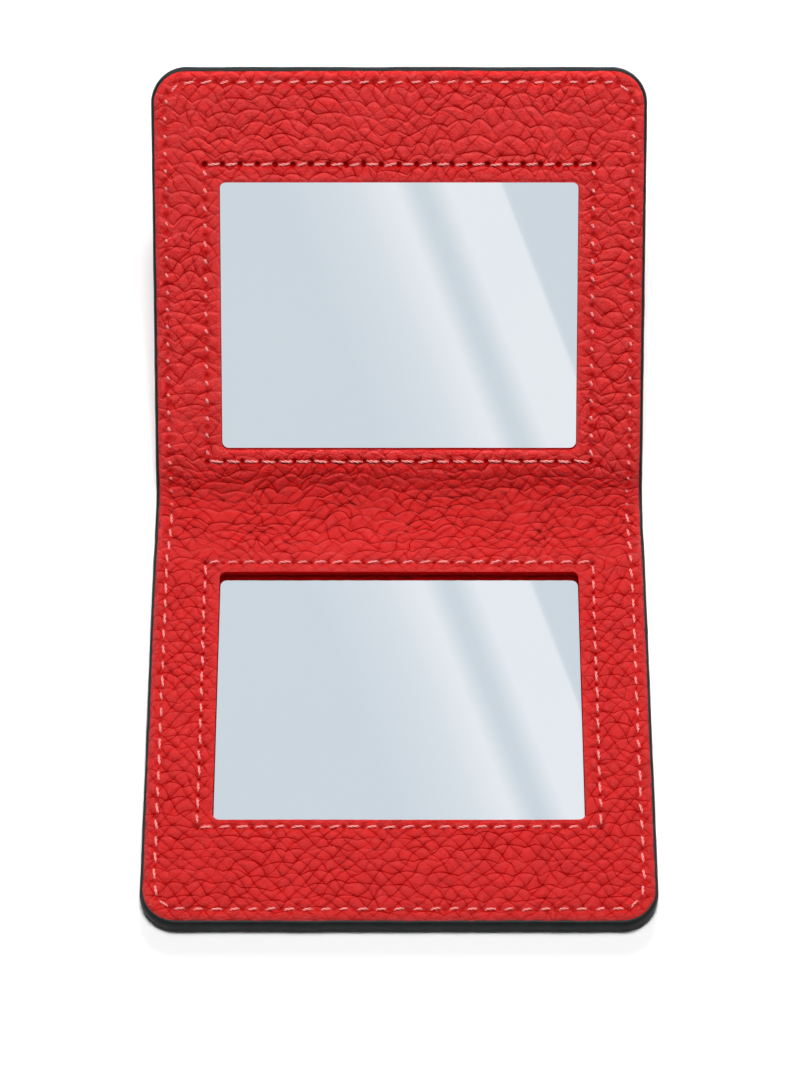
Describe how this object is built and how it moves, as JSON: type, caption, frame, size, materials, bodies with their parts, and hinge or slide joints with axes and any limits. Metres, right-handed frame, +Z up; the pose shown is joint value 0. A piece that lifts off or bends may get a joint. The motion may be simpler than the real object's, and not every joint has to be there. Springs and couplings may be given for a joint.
{
  "type": "compact mirror",
  "caption": "Folding leather compact with a framed mirror in each leaf, stitched round the windows and the whole edge, with painted edges and a soft leather spine as its hinge.",
  "frame": {"origin": "middle of the front leaf's underside, halfway between its painted end and the fold's mid-line", "axes": "+X along the fold, +Y from the front leaf's end towards the fold and the raised back leaf, +Z up from the table"},
  "size_m": [0.075, 0.1227, 0.0458],
  "materials": {
    "lining_leather": "pebbled red leather, semi-matt",
    "cover_leather": "pebbled red leather, semi-matt",
    "edge_paint": "dark charcoal flexible edge paint, soft gloss",
    "thread": "salmon pink twisted polyester thread",
    "mirror_glass": "silvered float glass",
    "board": "pressed fibre board, inside and not seen",
    "tape": "double-sided adhesive tape, inside and not seen"
  },
  "bodies": {
    "front_leaf": {"front_cover": "cover_leather", "front_backing_board": "board", "front_spacer_frame": "board", "front_mirror_tape": "tape", "front_mirror": "mirror_glass", "front_lining": "lining_leather", "front_edge_paint": "edge_paint", "front_window_stitches": "thread", "front_perimeter_stitches": "thread"},
    "spine": {"spine_cover": "cover_leather", "spine_lining": "lining_leather", "spine_edge_paint": "edge_paint", "spine_stitches": "thread"},
    "back_leaf": {"back_cover": "cover_leather", "back_backing_board": "board", "back_spacer_frame": "board", "back_mirror_tape": "tape", "back_mirror": "mirror_glass", "back_lining": "lining_leather", "back_edge_paint": "edge_paint", "back_window_stitches": "thread", "back_perimeter_stitches": "thread"}
  },
  "joints": [
    {"name": "front_fold", "type": "hinge", "parent": "front_leaf", "child": "spine", "pos_m": [0, 0.0312, 0.00045], "axis": [1, 0, 0], "range_deg": [0, 90], "deforming": ["spine_cover", "spine_lining", "spine_edge_paint", "spine_stitches"]},
    {"name": "back_fold", "type": "hinge", "parent": "spine", "child": "back_leaf", "pos_m": [0, 0.0383, 0.00045], "axis": [1, 0, 0], "range_deg": [-41, 49], "deforming": ["spine_cover", "spine_lining", "spine_edge_paint", "spine_stitches"]}
  ]
}
